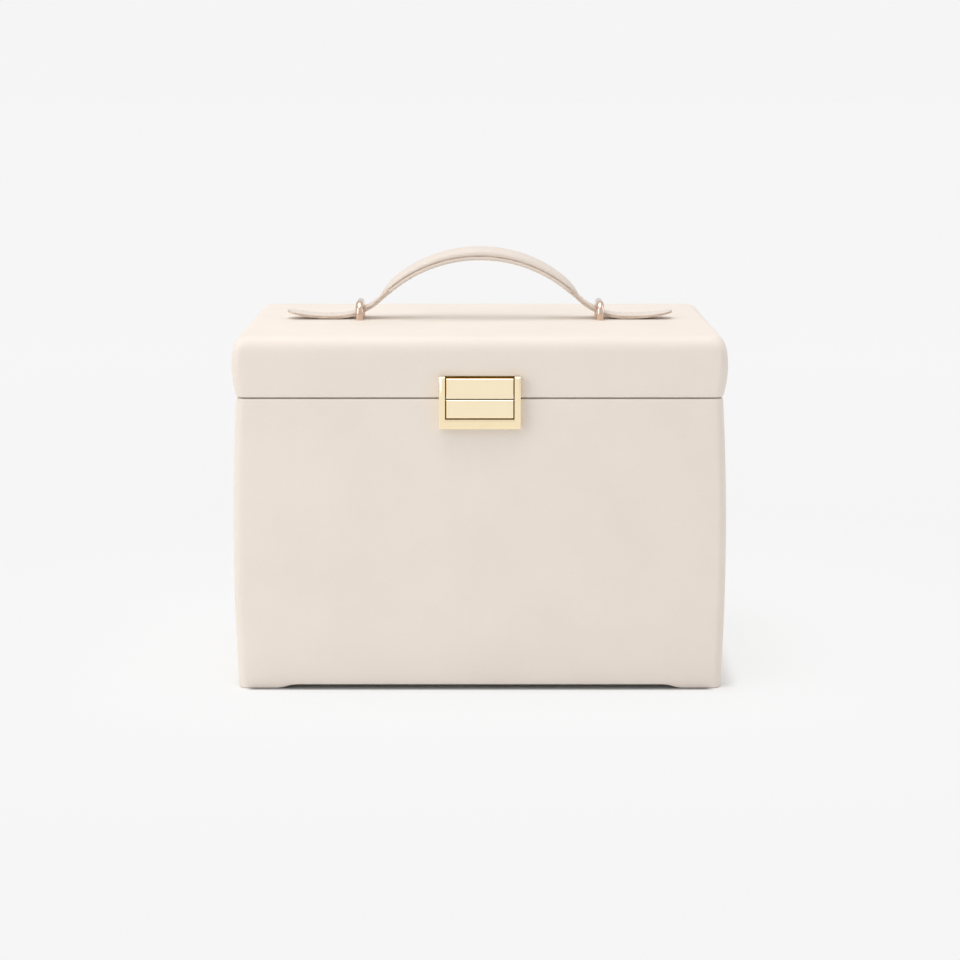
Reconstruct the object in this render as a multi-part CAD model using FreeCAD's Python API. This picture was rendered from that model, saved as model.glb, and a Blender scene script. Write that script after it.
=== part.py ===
import FreeCAD, Part
import math
import os
from FreeCAD import Vector

# A jewellery box in tiers: a lift-up lid with a mirror, a tray with ring rolls below it,
# two drawers and a three-part bay behind a drop-down front, and a strap handle on the lid.
# Sizes are in millimetres. +Z is up, the front faces -Y, and the origin is the middle of
# the footprint, on the surface that the box stands on.

# Outside
case_width = 254.0          # across the covers at the seam
case_depth = 180.0          # front cover to back cover
seam_height = 155.0         # the floor to the rim of the case
lid_height = 31.4           # the lid's rim to its top
seam_gap = 0.6
side_crown = 2.3            # how far the padded sides stand out where they are fullest
fullest_height = 105.0      # where the padded sides of the case are fullest
base_flare = 1.0            # how much further out each side is at the base than at the seam
corner_radius = 6.0         # upright corners, and the edges round the lid's top
rim_radius = 1.5            # front edges along the seam and the base

# Walls: board, padded cover outside it, and the cover's turned edge
wall_board = 6.0
cover_pad = 3.5
turned_edge = 0.8
lining = 1.0
glue_line = 0.02            # room between two pieces that are glued face to face

# Feet
foot_height = 1.8
foot_width = 20.5
foot_length = 30.0
foot_slant = 7.5
foot_inset = 1.5            # inside the cover's edge at the base

# Drop front
flap_board_thickness = 5.2
flap_gap = 0.5              # between the drop front and the case
flap_lift = 0.2             # between the hinge strip and the drop front
toe_lift = 0.1              # between the table and the drop front's two toes
flap_board_inset = 5.0      # the cover's edge to the board inside it
flap_lining_inset = 14.0
strip_thickness = 0.8
strip_length = 26.0
strip_inset = 5.0           # the drop front's face to the strip's front edge
magnet_radius = 2.5
magnet_depth = 3.0
magnet_inset = 28.0         # from the top and bottom of the side boards
plate_radius = 3.5
plate_thickness = 1.0
plate_inset_x = 0.5         # from the board's edge

# Inside, from the base up
base_thickness = 8.0
bay_height = 37.2
bay_divider = 4.0
bay_divider_offset = 38.0   # from the middle to each divider
shelf = 3.0
drawer_height = 28.0
slide_gap = 0.5
deck = 4.0

# Drawers
drawer_recess = 12.0        # the side walls' front edge to the drawer's face
drawer_front_thickness = 6.0
drawer_wall = 4.0
drawer_floor = 3.0
drawer_tray_drop = 2.0      # the front's top edge to the tray's
drawer_side_gap = 1.0
drawer_end_gap = 3.0
drawer_divider = 3.0
divider_drop = 4.0          # the tray's top edge to its divider's
upper_divider_offset = -30.0
lower_divider_offset = 40.0
knob_radius = 5.0
knob_reach = 9.0
knob_stem_radius = 2.2
knob_screw_radius = 1.5

# Top tray
tray_front_thickness = 5.0
liner_wall = 2.0
liner_floor = 1.5
liner_gap = 0.2
lip_height = 5.0            # how far the liner stands above the rim
roll_width = 14.4
roll_height = 17.0
roll_pitch = 14.8
roll_end_radius = 3.0
roll_count = 4
tray_divider = 3.0
tray_divider_drop = 12.0    # below the lip's top edge
cross_divider_offset = 30.0

# Lid
lid_top_board = 4.0
board_corner = 6.0          # upright corners of the lid's boards
board_edge = 3.5            # upper edges of its top board
lip_clearance = 1.0         # between the lid's walls and the liner's lip
lid_lining = 1.5
mirror_length = 190.0
mirror_width = 118.0
mirror_thickness = 2.0
mirror_frame_width = 6.0
mirror_frame_lip = 0.8
mirror_overlap = 1.5
mirror_gap = 0.2

# Hinges
hinge_spacing = 140.0
hinge_width = 32.0
hinge_leaf_height = 15.0
hinge_leaf_thickness = 1.2
knuckle_radius = 2.5
knuckle_clearance = 0.2
pin_radius = 1.0
pin_clearance = 0.03
screw_radius = 0.9
screw_head_radius = 2.0
screw_head_height = 0.7
screw_grip = 4.0            # how far a screw reaches into the board
screw_spacing = 20.0

# Clasp
clasp_width = 42.5
clasp_height = 27.3
clasp_below_seam = 15.2     # the seam to the frame's lower edge
clasp_proud = 5.5
clasp_bar = 3.2             # width of the two side bars
clasp_sill = 5.0            # height of the bottom bar
clasp_back = 0.7
clasp_bevel = 1.2           # across the bars' outer slopes
clasp_inner_bevel = 1.0     # across their inner slopes
clasp_bevel_depth = 0.6
hasp_slope = 2.8            # height of the slope along the hasp plate's lower edge
hasp_slope_depth = 0.5
clasp_gap = 0.55            # round the button and the hasp plate
arm_clearance = 0.3         # between the side bars and the lid's front
plate_inset = 1.1           # how far the button and the hasp plate lie below the frame's face
button_travel = 1.5
button_room = 0.1           # left behind the button when it is pressed right in
button_bevel = 0.3
hasp_top_gap = 1.0          # the side bars' top to the hasp plate's
leaf_spring_width = 4.0
leaf_spring_length = 24.0
leaf_spring_thickness = 0.35
stud_radius = 1.3
stud_reach = 3.0            # into the board
stud_spacing = 26.0

# Handle
strap_width = 16.0
strap_thickness = 2.7
strap_half_length = 106.0
strap_rest_gap = 0.3        # above the lid
strap_end_radius = 7.0
handle_rise = 34.4          # lid to the middle of the strap at its crown
handle_radius = 76.6
shoulder_radius = 30.0      # where the strap turns down onto the lid
grip_half_length = 49.0
grip_width = 18.0
grip_end_width = 17.2
grip_skin = 0.6             # leather under the strap and round its edges
grip_dome = 3.9             # padding over the strap at the crown
grip_end_dome = 0.9
grip_sections = 9
loop_spacing = 132.0
loop_wire = 4.4
loop_bend = 5.0
loop_gap = 1.0              # beside the strap
loop_top_gap = 0.3
loop_depth = 6.0            # how far the legs go into the lid

# Places that follow from these sizes
hinge_axis_out = knuckle_radius + knuckle_clearance
hinge_proud = hinge_axis_out + knuckle_radius
front = -(case_depth + clasp_proud + hinge_proud) / 2 + clasp_proud
back = front + case_depth
middle_y = (front + back) / 2
foot_outer = case_width / 2 + base_flare - foot_inset
foot_inner = foot_outer - foot_width
half_seam = case_width / 2
half_base = half_seam + base_flare
half_boards = half_seam - cover_pad
half_inside = half_boards - wall_board
flap_thickness = cover_pad + flap_board_thickness + turned_edge
flap_back = front + flap_thickness
case_front = flap_back + flap_gap
boards_front = case_front + turned_edge
boards_back = back - cover_pad
inside_back = boards_back - wall_board
flap_bottom = foot_height + flap_lift
base_top = foot_height + base_thickness
bay_floor = base_top + lining
bay_roof = bay_floor + bay_height
lower_drawer_bottom = bay_roof + shelf + slide_gap
upper_shelf_bottom = lower_drawer_bottom + drawer_height + slide_gap
upper_drawer_bottom = upper_shelf_bottom + shelf + slide_gap
deck_bottom = upper_drawer_bottom + drawer_height + slide_gap
deck_top = deck_bottom + deck
boards_top = seam_height - turned_edge
liner_top = seam_height + lip_height
lid_bottom = seam_height + seam_gap
lid_top = lid_bottom + lid_height
lid_frame_bottom = lid_bottom + turned_edge
lid_wall = wall_board - lip_clearance
lid_board_top = lid_top - cover_pad
lid_board_bottom = lid_board_top - lid_top_board
hinge_y = back + hinge_axis_out
hinge_z = seam_height + seam_gap / 2
clasp_bottom = seam_height - clasp_below_seam
clasp_top = clasp_bottom + clasp_height
clasp_front = front - clasp_proud
plate_front = clasp_front + plate_inset
button_back = front - clasp_back - button_travel - leaf_spring_thickness - button_room

bodies_saved = []


def save(name, shape):
    """Write one piece to its own file."""
    solid = shape.removeSplitter()
    solid.exportStep(f"parts/{name}.step")
    bodies_saved.append(name)


def block(x, y, z):
    """A box between two places along each axis."""
    return Part.makeBox(x[1] - x[0], y[1] - y[0], z[1] - z[0], Vector(x[0], y[0], z[0]))


def cut_all(shape, tools):
    for tool in tools:
        shape = shape.cut(tool)
    return shape


def mirror_x(shape):
    return shape.mirror(Vector(0, 0, 0), Vector(1, 0, 0))


def rod(radius, start, direction, length):
    return Part.makeCylinder(radius, length, start, direction)


def round_edges(shape, radius, wanted):
    """Round the edges whose bounding box passes the test."""
    chosen = [edge for edge in shape.Edges if wanted(edge.BoundBox)]
    return shape.makeFillet(radius, chosen)


def same(a, b):
    return abs(a - b) < 0.01


def slab(y, z, half_low, half_full, full_z, half_high, relief=()):
    """A slab as wide as the box, whose two sides swell out in one long arc.
    The relief is the right half of its lower edge, from the middle out, where that isn't straight."""
    def place(half, height):
        return Vector(half, y[0], height)
    right = Part.Arc(place(half_low, z[0]), place(half_full, full_z), place(half_high, z[1]))
    left = Part.Arc(place(-half_high, z[1]), place(-half_full, full_z), place(-half_low, z[0]))
    lower = [place(half, height) for half, height in relief]
    lower = [mirrored(point) for point in reversed(lower)] + lower
    ends = [place(-half_low, z[0])] + lower + [place(half_low, z[0])]
    outline = Part.Wire([Part.makeLine(a, b) for a, b in zip(ends, ends[1:])] + [
        right.toShape(),
        Part.makeLine(place(half_high, z[1]), place(-half_high, z[1])),
        left.toShape(),
    ])
    return Part.Face(outline).extrude(Vector(0, y[1] - y[0], 0))


def mirrored(point):
    return Vector(-point.x, point.y, point.z)


def case_slab(y, bottom, relief=()):
    full = half_seam + side_crown
    return slab(y, (bottom, seam_height), half_base, full, fullest_height, half_seam, relief)


def upright(box, y):
    """True for an upright edge at one end of a slab."""
    return same(box.YMin, y) and same(box.YMax, y) and box.ZLength > box.XLength


# Screws, shared by both leaves of the two hinges
def hinge_screws(height):
    head_y = back + hinge_leaf_thickness
    grip = cover_pad + screw_grip + hinge_leaf_thickness
    screws = []
    for side in (-1, 1):
        for end in (-1, 1):
            x = side * hinge_spacing / 2 + end * screw_spacing / 2
            shank = rod(screw_radius, Vector(x, head_y, height), Vector(0, -1, 0), grip)
            head = rod(screw_head_radius, Vector(x, head_y, height), Vector(0, 1, 0), screw_head_height)
            screws.append(shank.fuse(head).removeSplitter())
    return Part.makeCompound(screws)


case_screws = hinge_screws(hinge_z - hinge_leaf_height * 0.6)
lid_screws = hinge_screws(hinge_z + hinge_leaf_height * 0.6)


# Case
def case_magnets():
    magnets = []
    for side in (-1, 1):
        for z in (base_top + magnet_inset, boards_top - magnet_inset):
            start = Vector(side * (half_inside + wall_board / 2), boards_front, z)
            magnets.append(rod(magnet_radius, start, Vector(0, 1, 0), magnet_depth))
    return Part.makeCompound(magnets)


def make_case():
    magnets = case_magnets()
    save("case_magnets", magnets)
    base = block((-half_boards, half_boards), (boards_front, boards_back), (foot_height, base_top))
    save("base_board", base)
    side = block((half_inside, half_boards), (boards_front, inside_back), (base_top, boards_top))
    save("side_board_right", side.cut(magnets))
    save("side_board_left", mirror_x(side).cut(magnets))
    back_board = block((-half_boards, half_boards), (inside_back, boards_back), (base_top, boards_top))
    save("back_board", back_board.cut(case_screws))
    cover = case_slab((case_front, back), foot_height)
    cover = round_edges(cover, corner_radius, lambda box: upright(box, back))
    around_boards = block((-half_boards, half_boards), (boards_front, boards_back), (0, boards_top))
    cavity = block((-half_inside, half_inside), (0 - case_depth, inside_back), (0, seam_height + 1))
    save("outer_cover", cut_all(cover, [around_boards, cavity, case_screws]))
    for name, z in (("shelf_lower", bay_roof), ("shelf_upper", upper_shelf_bottom)):
        save(name, block((-half_inside, half_inside), (boards_front, inside_back), (z, z + shelf)))
    save("tray_deck", block((-half_inside, half_inside), (boards_front, inside_back), (deck_bottom, deck_top)))


def make_bay():
    floor = block((-half_inside, half_inside), (boards_front, inside_back), (base_top, bay_floor))
    save("bay_lining", floor)
    x = (bay_divider_offset - bay_divider / 2, bay_divider_offset + bay_divider / 2)
    divider = block(x, (boards_front + turned_edge, inside_back), (bay_floor, bay_roof))
    save("bay_divider_right", divider)
    save("bay_divider_left", mirror_x(divider))


def make_feet():
    ends = [(foot_outer, 0), (foot_outer, foot_height)]
    ends += [(foot_inner - foot_slant, foot_height), (foot_inner, 0)]
    for name, y, turn in (("front", case_front + flap_gap, 1), ("rear", back - foot_inset, -1)):
        points = [Vector(x, y, z) for x, z in ends]
        foot = Part.Face(Part.makePolygon(points + points[:1])).extrude(Vector(0, turn * foot_length, 0))
        def corner(box):
            return upright(box, y) and same(box.XMin, foot_outer)
        foot = round_edges(foot, corner_radius - foot_inset, corner)
        save(f"foot_{name}_right", foot)
        save(f"foot_{name}_left", mirror_x(foot))
    reach = foot_inner - foot_slant - flap_gap
    strip_y = (front + strip_inset, front + strip_inset + strip_length)
    strip = block((-reach, reach), strip_y, (foot_height - strip_thickness, foot_height))
    save("flap_hinge_strip", strip)


# Top tray
def make_tray():
    y0 = boards_front + tray_front_thickness
    wall = block((-half_inside, half_inside), (boards_front, y0), (deck_top, boards_top))
    save("tray_front_board", wall)
    x = half_inside - liner_gap
    y = (y0 + liner_gap, inside_back - liner_gap)
    outer = block((-x, x), y, (deck_top, liner_top))
    room_x = x - liner_wall
    room_y = (y[0] + liner_wall, y[1] - liner_wall)
    floor = deck_top + liner_floor
    room = block((-room_x, room_x), room_y, (floor, liner_top + 1))
    save("tray_liner", outer.cut(room))
    top = liner_top - tray_divider_drop
    long_y = room_y[0] + glue_line + roll_count * roll_pitch
    long_divider = block((-room_x, room_x), (long_y, long_y + tray_divider), (floor, top))
    save("tray_divider_long", long_divider)
    half = tray_divider / 2
    cross_x = (cross_divider_offset - half, cross_divider_offset + half)
    save("tray_divider_cross", block(cross_x, (long_y + tray_divider, room_y[1]), (floor, top)))
    for i in range(roll_count):
        roll = ring_roll(room_x - glue_line, room_y[0] + roll_pitch * (i + 0.5), floor)
        save(f"ring_roll_{i + 1}", roll)


def ring_roll(half_length, y, floor):
    """A padded roll: flat below, with nearly upright sides and a round crown."""
    half = roll_width / 2
    shoulder = roll_height - half
    waist = half - 0.5
    def place(dy, dz):
        return Vector(-half_length, y + dy, floor + dz)
    crown = Part.Arc(place(half, shoulder), place(0, roll_height), place(-half, shoulder)).toShape()
    near = Part.Arc(place(-half, shoulder), place(-waist, shoulder / 2), place(-half + 0.3, 0)).toShape()
    far = Part.Arc(place(half - 0.3, 0), place(waist, shoulder / 2), place(half, shoulder)).toShape()
    outline = Part.Wire([Part.makeLine(place(-half + 0.3, 0), place(half - 0.3, 0)), far, crown, near])
    roll = Part.Face(outline).extrude(Vector(2 * half_length, 0, 0))
    def crown_end(box):
        return same(box.XLength, 0) and same(box.ZMax, floor + roll_height)
    return round_edges(roll, roll_end_radius, crown_end)


# Drawers
def make_drawer(name, bottom, divider_offset):
    top = bottom + drawer_height
    half = half_inside - drawer_side_gap
    face = case_front + drawer_recess
    inner = face + drawer_front_thickness
    end = inside_back - drawer_end_gap
    knob_z = bottom + drawer_height / 2
    outward = Vector(0, -1, 0)
    seat = Vector(0, face, knob_z)
    grip_start = Vector(0, face - knob_reach * 0.45, knob_z)
    stem = rod(knob_stem_radius, seat, outward, knob_reach * 0.5)
    grip = rod(knob_radius, grip_start, outward, knob_reach * 0.55)
    grip = round_edges(grip, 1.2, lambda box: box.YLength < 0.01)
    screw = rod(knob_screw_radius, seat, Vector(0, 1, 0), drawer_front_thickness)
    knob = stem.fuse(grip).fuse(screw)
    save(f"drawer_{name}_knob", knob)
    front_panel = block((-half, half), (face, inner), (bottom, top))
    save(f"drawer_{name}_front", front_panel.cut(screw))
    tray_top = top - drawer_tray_drop
    tray = block((-half, half), (inner, end), (bottom, tray_top))
    room_x = half - drawer_wall
    room_y = (inner + drawer_wall, end - drawer_wall)
    floor = bottom + drawer_floor
    tray = tray.cut(block((-room_x, room_x), room_y, (floor, top)))
    save(f"drawer_{name}_tray", tray)
    x = (divider_offset - drawer_divider / 2, divider_offset + drawer_divider / 2)
    save(f"drawer_{name}_divider", block(x, room_y, (floor, tray_top - divider_drop)))


# Drop front
def clasp_studs(z, reach):
    """Two studs that hold a clasp piece, from the front face into the board."""
    studs = []
    for side in (-1, 1):
        start = Vector(side * stud_spacing / 2, front, z)
        studs.append(rod(stud_radius, start, Vector(0, 1, 0), reach))
    return studs


frame_stud_z = clasp_bottom + clasp_sill / 2
hasp_bottom = lid_bottom
hasp_top = clasp_top - hasp_top_gap
hasp_stud_z = (hasp_bottom + hasp_top) / 2
frame_studs = clasp_studs(frame_stud_z, cover_pad + stud_reach)
hasp_studs = clasp_studs(hasp_stud_z, cover_pad + stud_reach)


def make_flap():
    plates = []
    board_y = (front + cover_pad, flap_back - turned_edge)
    half = half_seam - flap_board_inset
    for side in (-1, 1):
        for z in (base_top + magnet_inset, boards_top - magnet_inset):
            x = side * (half - plate_radius - plate_inset_x)
            start = Vector(x, board_y[1] - plate_thickness, z)
            plates.append(rod(plate_radius, start, Vector(0, 1, 0), plate_thickness))
    board_z = (flap_bottom + turned_edge + cover_pad, seam_height - cover_pad)
    board = block((-half, half), board_y, board_z)
    half_lining = half_seam - flap_lining_inset
    lining_z = (flap_bottom + flap_lining_inset, seam_height - flap_lining_inset)
    pile = block((-half_lining, half_lining), (board_y[1], flap_back), lining_z)
    toes = [(foot_inner - foot_slant, flap_bottom), (foot_inner, toe_lift)]
    cover = case_slab((front, flap_back), toe_lift, toes)
    cover = round_edges(cover, corner_radius, lambda box: upright(box, front) and box.ZLength > half_seam / 2)
    cover = round_edges(cover, rim_radius, lambda box: same(box.YMax, front) and same(box.YLength, 0))
    save("flap_plates", Part.makeCompound(plates))
    save("flap_board", cut_all(board, plates + frame_studs))
    save("flap_lining", pile)
    save("flap_cover", cut_all(cover, [board, pile] + frame_studs))


# Clasp
def tapered(near_y, near, far_y, far):
    """A block whose section changes evenly from one rectangle to another, front to back."""
    def corners(y, rectangle):
        (x0, x1), (z0, z1) = rectangle
        return [Vector(x, y, z) for x, z in ((x0, z0), (x1, z0), (x1, z1), (x0, z1))]
    def face(points):
        return Part.Face(Part.makePolygon(points + points[:1]))
    a = corners(near_y, near)
    b = corners(far_y, far)
    sides = [face([a[i - 1], a[i], b[i], b[i - 1]]) for i in range(4)]
    return Part.Solid(Part.Shell([face(a), face(b)] + sides))


def make_clasp():
    half = clasp_width / 2
    inner = half - clasp_bar
    sill_top = clasp_bottom + clasp_sill
    ridge = half - clasp_bevel
    lip = inner + clasp_inner_bevel
    slope_y = clasp_front + clasp_bevel_depth
    above = clasp_top + half
    crest = tapered(clasp_front, ((-ridge, ridge), (clasp_bottom + clasp_bevel, clasp_top - clasp_bevel_depth)),
                    slope_y, ((-half, half), (clasp_bottom, clasp_top)))
    whole = block((-half, half), (slope_y, front), (clasp_bottom, clasp_top)).fuse(crest)
    window = block((-inner, inner), (clasp_front - 1, front - clasp_back), (sill_top, above))
    mouth = tapered(clasp_front, ((-lip, lip), (sill_top - clasp_inner_bevel, above)),
                    slope_y, ((-inner, inner), (sill_top, above)))
    behind_arms = block((-half, half), (front - arm_clearance, front), (seam_height, above))
    over_back = block((-inner, inner), (clasp_front - 1, front), (seam_height - seam_gap, above))
    frame = cut_all(whole, [window, mouth, behind_arms, over_back])
    for stud in frame_studs:
        frame = frame.fuse(stud)
    save("clasp_frame", frame)
    plate_half = inner - clasp_gap
    plate_x = (-plate_half, plate_half)
    def soften(plate):
        rim = [edge for edge in plate.Edges if same(edge.BoundBox.YMax, plate_front)]
        return plate.makeChamfer(button_bevel, rim)
    button_z = (sill_top + clasp_gap, seam_height)
    save("clasp_button", soften(block(plate_x, (plate_front, button_back), button_z)))
    slope_foot = plate_front + hasp_slope_depth
    hasp = block(plate_x, (slope_foot, front), (hasp_bottom, hasp_top))
    hasp = hasp.fuse(tapered(plate_front, (plate_x, (hasp_bottom + hasp_slope, hasp_top)),
                             slope_foot, (plate_x, (hasp_bottom, hasp_top))))
    hasp = soften(hasp.removeSplitter())
    for stud in hasp_studs:
        hasp = hasp.fuse(stud)
    save("hasp_plate", hasp)
    save("clasp_spring", leaf_spring(button_back, front - clasp_back, sum(button_z) / 2))


def leaf_spring(near, far, z):
    """A bowed strip between the button and the clasp's back plate."""
    half = leaf_spring_length / 2
    thick = leaf_spring_thickness
    low = far - glue_line
    high = near + glue_line
    bottom = z - leaf_spring_width / 2
    def place(x, y):
        return Vector(x, y, bottom)
    outline = Part.Wire([
        Part.Arc(place(-half, low - thick), place(0, high), place(half, low - thick)).toShape(),
        Part.makeLine(place(half, low - thick), place(half, low)),
        Part.Arc(place(half, low), place(0, high + thick), place(-half, low)).toShape(),
        Part.makeLine(place(-half, low), place(-half, low - thick)),
    ])
    return Part.Face(outline).extrude(Vector(0, 0, leaf_spring_width))


# Handle: the strap's middle line is one arc over the lid, a shoulder each side, and flat ends
strap_flat = lid_top + strap_rest_gap + strap_thickness / 2
arc_z = lid_top + handle_rise - handle_radius
shoulder_z = strap_flat + shoulder_radius
both_radii = handle_radius + shoulder_radius
shoulder_x = math.sqrt(both_radii ** 2 - (shoulder_z - arc_z) ** 2)
turn = math.asin(shoulder_x / both_radii)


def strap_height(x):
    """Height of the strap's middle line at a distance from the crown."""
    x = abs(x)
    if x < handle_radius * math.sin(turn):
        return arc_z + math.sqrt(handle_radius ** 2 - x ** 2)
    if x < shoulder_x:
        return shoulder_z - math.sqrt(shoulder_radius ** 2 - (shoulder_x - x) ** 2)
    return strap_flat


def strap_run(offset, y):
    """Edges from the left end to the right end, at an offset above the middle line."""
    def on_arc(angle):
        r = handle_radius + offset
        return Vector(r * math.sin(angle), y, arc_z + r * math.cos(angle))
    def on_shoulder(angle, side):
        r = shoulder_radius - offset
        return Vector(side * (shoulder_x - r * math.sin(angle)), y, shoulder_z - r * math.cos(angle))
    def shoulder(side):
        places = [on_shoulder(angle, side) for angle in (0, turn / 2, turn)]
        if side > 0:
            places.reverse()
        return Part.Arc(*places).toShape()
    def flat(side):
        end = Vector(side * strap_half_length, y, strap_flat + offset)
        ends = [end, on_shoulder(0, side)]
        if side > 0:
            ends.reverse()
        return Part.makeLine(*ends)
    crown = Part.Arc(on_arc(-turn), on_arc(0), on_arc(turn)).toShape()
    return [flat(-1), shoulder(-1), crown, shoulder(1), flat(1)]


def make_strap():
    y = middle_y - strap_width / 2
    above = strap_run(strap_thickness / 2, y)
    below = strap_run(-strap_thickness / 2, y)
    ends = []
    for upper, lower, vertex in ((above[0], below[0], 0), (above[-1], below[-1], 1)):
        ends.append(Part.makeLine(upper.Vertexes[vertex].Point, lower.Vertexes[vertex].Point))
    outline = Part.Wire(Part.__sortEdges__(above + below + ends))
    strap = Part.Face(outline).extrude(Vector(0, strap_width, 0))
    def tip(box):
        return same(box.XLength, 0) and same(box.YLength, 0) and same(abs(box.XMin), strap_half_length)
    return round_edges(strap, strap_end_radius, tip)


def make_grip(strap):
    """Padding over the strap, domed across, that thins out towards both ends."""
    end = math.asin(grip_half_length / handle_radius)
    def section(step):
        along = 2 * step / (grip_sections - 1) - 1
        fullness = math.sqrt(1 - 0.999 * along ** 2)
        half = (grip_end_width + (grip_width - grip_end_width) * fullness) / 2
        dome = grip_end_dome + (grip_dome - grip_end_dome) * fullness
        angle = end * along
        def place(dy, r):
            r += handle_radius
            return Vector(r * math.sin(angle), middle_y + dy, arc_z + r * math.cos(angle))
        low = -strap_thickness / 2 - grip_skin
        edge = strap_thickness / 2 + grip_skin / 2
        top = strap_thickness / 2 + dome
        return Part.Wire([
            Part.makeLine(place(half, low), place(half, edge)),
            Part.Arc(place(half, edge), place(0, top), place(-half, edge)).toShape(),
            Part.makeLine(place(-half, edge), place(-half, low)),
            Part.makeLine(place(-half, low), place(half, low)),
        ])
    grip = Part.makeLoft([section(step) for step in range(grip_sections)], True, False)
    return grip.cut(strap)


def make_loop(x):
    """A wire staple over the strap, with both legs set into the lid."""
    wire = loop_wire / 2
    slope = (strap_height(x - wire) - strap_height(x + wire)) / loop_wire
    strap_top = strap_height(x - wire) + strap_thickness / 2 * math.sqrt(1 + slope ** 2)
    top = strap_top + loop_top_gap + wire
    half = strap_width / 2 + loop_gap + wire
    bottom = lid_top - loop_depth
    bend = loop_bend * (1 - math.sqrt(0.5))
    def place(dy, z):
        return Vector(x, middle_y + dy, z)
    near = Part.Arc(place(-half, top - loop_bend), place(-half + bend, top - bend), place(-half + loop_bend, top))
    far = Part.Arc(place(half - loop_bend, top), place(half - bend, top - bend), place(half, top - loop_bend))
    path = Part.Wire([
        Part.makeLine(place(-half, bottom), place(-half, top - loop_bend)),
        near.toShape(),
        Part.makeLine(place(-half + loop_bend, top), place(half - loop_bend, top)),
        far.toShape(),
        Part.makeLine(place(half, top - loop_bend), place(half, bottom)),
    ])
    section = Part.Wire(Part.makeCircle(wire, place(-half, bottom), Vector(0, 0, 1)))
    return path.makePipeShell([section], True, False)


# Lid
def make_lid(loops):
    inner_x = half_boards - lid_wall
    wall_y = (front + cover_pad, boards_back)
    room_y = (wall_y[0] + lid_wall, wall_y[1] - lid_wall)
    def board(z):
        blank = block((-half_boards, half_boards), wall_y, z)
        return round_edges(blank, board_corner, lambda box: same(box.XLength, 0) and same(box.YLength, 0))
    outer = board((lid_frame_bottom, lid_board_bottom))
    room = block((-inner_x, inner_x), room_y, (lid_bottom - 1, lid_board_bottom))
    save("lid_frame", cut_all(outer, [room, lid_screws] + hasp_studs))
    top_board = board((lid_board_bottom, lid_board_top))
    top_board = round_edges(top_board, board_edge, lambda box: same(box.ZMin, lid_board_top))
    save("lid_top_board", cut_all(top_board, loops))
    full_z = lid_bottom + lid_height / 2
    cover = slab((front, back), (lid_bottom, lid_top), half_seam, half_seam + side_crown, full_z, half_seam)
    def seen_edge(box):
        return upright(box, front) or upright(box, back) or same(box.ZMin, lid_top)
    cover = round_edges(cover, corner_radius, seen_edge)
    def front_rim(box):
        return same(box.ZMax, lid_bottom) and same(box.YMax, front)
    cover = round_edges(cover, rim_radius, front_rim)
    cover = cut_all(cover, [outer, top_board, room, lid_screws] + hasp_studs + loops)
    save("lid_cover", cover)
    gap = glue_line
    lining_z = (lid_board_bottom - lid_lining, lid_board_bottom)
    lining_x = (-inner_x + gap, inner_x - gap)
    save("lid_lining", block(lining_x, (room_y[0] + gap, room_y[1] - gap), lining_z))
    make_mirror(lining_z[0])


def make_mirror(top):
    def field(length, width, z):
        x = length / 2
        y = width / 2
        return block((-x, x), (middle_y - y, middle_y + y), z)
    face = top - mirror_thickness
    rim = face - mirror_frame_lip
    save("mirror", field(mirror_length, mirror_width, (face, top)))
    border = 2 * mirror_frame_width
    frame = field(mirror_length + border, mirror_width + border, (rim, top))
    sight = 2 * mirror_overlap
    frame = frame.cut(field(mirror_length - sight, mirror_width - sight, (rim - 1, top)))
    rebate = 2 * mirror_gap
    frame = frame.cut(field(mirror_length + rebate, mirror_width + rebate, (face, top)))
    save("mirror_frame", frame)


# Hinges
def make_hinges():
    knuckle = (hinge_width - 2 * knuckle_clearance) / 3
    left = hinge_spacing / 2 - hinge_width / 2
    starts = [left + i * (knuckle + knuckle_clearance) for i in range(3)]
    bore = rod(pin_radius + pin_clearance, Vector(left, hinge_y, hinge_z), Vector(1, 0, 0), hinge_width)
    for owner, up, mine in (("case", -1, (0, 2)), ("lid", 1, (1,))):
        screws = lid_screws if up > 0 else case_screws
        near = hinge_z + up * (knuckle_radius + knuckle_clearance)
        far = hinge_z + up * hinge_leaf_height
        leaf_y = (back, back + hinge_leaf_thickness)
        leaf = block((left, left + hinge_width), leaf_y, (min(near, far), max(near, far)))
        for i in mine:
            x = (starts[i], starts[i] + knuckle)
            barrel = rod(knuckle_radius, Vector(x[0], hinge_y, hinge_z), Vector(1, 0, 0), knuckle)
            neck_y = (back + knuckle_clearance, back + hinge_leaf_thickness)
            neck = block(x, neck_y, (min(hinge_z, near), max(hinge_z, near)))
            leaf = leaf.fuse(barrel).fuse(neck)
        leaf = cut_all(leaf, [bore, screws])
        save(f"{owner}_hinge_leaf_right", leaf)
        save(f"{owner}_hinge_leaf_left", mirror_x(leaf).cut(screws))
        save(f"{owner}_hinge_screws", screws)
    pin = rod(pin_radius, Vector(left, hinge_y, hinge_z), Vector(1, 0, 0), hinge_width)
    save("hinge_pin_right", pin)
    save("hinge_pin_left", mirror_x(pin))


os.makedirs("parts", exist_ok=True)
make_case()
make_bay()
make_feet()
make_tray()
make_drawer("upper", upper_drawer_bottom, upper_divider_offset)
make_drawer("lower", lower_drawer_bottom, lower_divider_offset)
make_flap()
make_clasp()
handle_strap = make_strap()
save("handle_strap", handle_strap)
save("handle_grip", make_grip(handle_strap))
handle_loop = make_loop(loop_spacing / 2)
handle_loops = [handle_loop, mirror_x(handle_loop)]
save("handle_loop_right", handle_loops[0])
save("handle_loop_left", handle_loops[1])
make_lid(handle_loops)
make_hinges()
print(len(bodies_saved), "pieces; front", front, "back", back, "lid top", lid_top)
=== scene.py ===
import math

import bmesh
import bpy
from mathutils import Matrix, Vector, noise


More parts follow.
